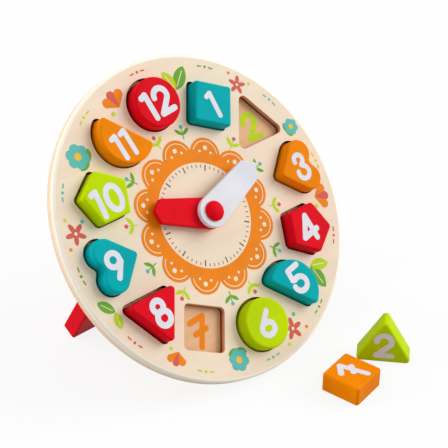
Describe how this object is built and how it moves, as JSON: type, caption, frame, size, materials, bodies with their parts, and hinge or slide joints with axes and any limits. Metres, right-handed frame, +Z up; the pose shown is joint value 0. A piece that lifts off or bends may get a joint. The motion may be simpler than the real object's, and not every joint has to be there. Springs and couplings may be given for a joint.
{
  "type": "shape-sorting clock puzzle",
  "caption": "Round wooden clock puzzle on a fold-out stand, with chunky number blocks in shaped pockets, two turning hands and two blocks taken out.",
  "frame": {"origin": "middle of the bottom of the box round the whole set as it stands, loose blocks included", "axes": "+Z up, +X to the dial's right as seen from the front, -Y towards the viewer; the dial leans back"},
  "size_m": [0.26, 0.2444, 0.2034],
  "materials": {
    "natural_ply": "satin",
    "backing_ply": "satin",
    "red_paint_wood": "satin",
    "teal_paint_wood": "satin",
    "lime_paint_wood": "satin",
    "orange_paint_wood": "satin",
    "white_paint_wood": "satin",
    "pale_wood": "satin",
    "steel": "satin",
    "nylon": "matt"
  },
  "bodies": {
    "board": {"face_panel": "natural_ply", "backing_panel": "backing_ply", "centre_peg": "red_paint_wood", "hand_spacer": "pale_wood", "hand_washer": "nylon", "hinge_block_left": "red_paint_wood", "hinge_block_right": "red_paint_wood", "hinge_pin_left": "steel", "hinge_pin_right": "steel"},
    "hour_hand": {"hour_hand": "red_paint_wood"},
    "minute_hand": {"minute_hand": "white_paint_wood"},
    "stand": {"stand_frame": "red_paint_wood"},
    "block_01": {"number_block_01": "teal_paint_wood"},
    "block_02": {"number_block_02": "lime_paint_wood"},
    "block_03": {"number_block_03": "orange_paint_wood"},
    "block_04": {"number_block_04": "red_paint_wood"},
    "block_05": {"number_block_05": "teal_paint_wood"},
    "block_06": {"number_block_06": "lime_paint_wood"},
    "block_07": {"number_block_07": "orange_paint_wood"},
    "block_08": {"number_block_08": "red_paint_wood"},
    "block_09": {"number_block_09": "teal_paint_wood"},
    "block_10": {"number_block_10": "lime_paint_wood"},
    "block_11": {"number_block_11": "orange_paint_wood"},
    "block_12": {"number_block_12": "red_paint_wood"}
  },
  "joints": [
    {"name": "hour_hand_turn", "type": "hinge", "parent": "board", "child": "hour_hand", "pos_m": [0, 0.03116, 0.10526], "axis": [0, -0.7638, 0.6455], "continuous": true},
    {"name": "minute_hand_turn", "type": "hinge", "parent": "board", "child": "minute_hand", "pos_m": [0, 0.03116, 0.10526], "axis": [0, -0.7638, 0.6455], "continuous": true},
    {"name": "stand_fold", "type": "hinge", "parent": "board", "child": "stand", "pos_m": [0, 0.04322, 0.09179], "axis": [1, 0, 0], "range_deg": [-69.8, 0]},
    {"name": "block_01_lift", "type": "slide", "parent": "board", "child": "block_01", "axis": [0, -0.7638, 0.6455], "range_m": [0, 0.03]},
    {"name": "block_02_lift", "type": "slide", "parent": "board", "child": "block_02", "axis": [0, 0, 1], "range_m": [0, 0.04]},
    {"name": "block_03_lift", "type": "slide", "parent": "board", "child": "block_03", "axis": [0, -0.7638, 0.6455], "range_m": [0, 0.03]},
    {"name": "block_04_lift", "type": "slide", "parent": "board", "child": "block_04", "axis": [0, -0.7638, 0.6455], "range_m": [0, 0.03]},
    {"name": "block_05_lift", "type": "slide", "parent": "board", "child": "block_05", "axis": [0, -0.7638, 0.6455], "range_m": [0, 0.03]},
    {"name": "block_06_lift", "type": "slide", "parent": "board", "child": "block_06", "axis": [0, -0.7638, 0.6455], "range_m": [0, 0.03]},
    {"name": "block_07_lift", "type": "slide", "parent": "board", "child": "block_07", "axis": [0, 0, 1], "range_m": [0, 0.04]},
    {"name": "block_08_lift", "type": "slide", "parent": "board", "child": "block_08", "axis": [0, -0.7638, 0.6455], "range_m": [0, 0.03]},
    {"name": "block_09_lift", "type": "slide", "parent": "board", "child": "block_09", "axis": [0, -0.7638, 0.6455], "range_m": [0, 0.03]},
    {"name": "block_10_lift", "type": "slide", "parent": "board", "child": "block_10", "axis": [0, -0.7638, 0.6455], "range_m": [0, 0.03]},
    {"name": "block_11_lift", "type": "slide", "parent": "board", "child": "block_11", "axis": [0, -0.7638, 0.6455], "range_m": [0, 0.03]},
    {"name": "block_12_lift", "type": "slide", "parent": "board", "child": "block_12", "axis": [0, -0.7638, 0.6455], "range_m": [0, 0.03]}
  ]
}
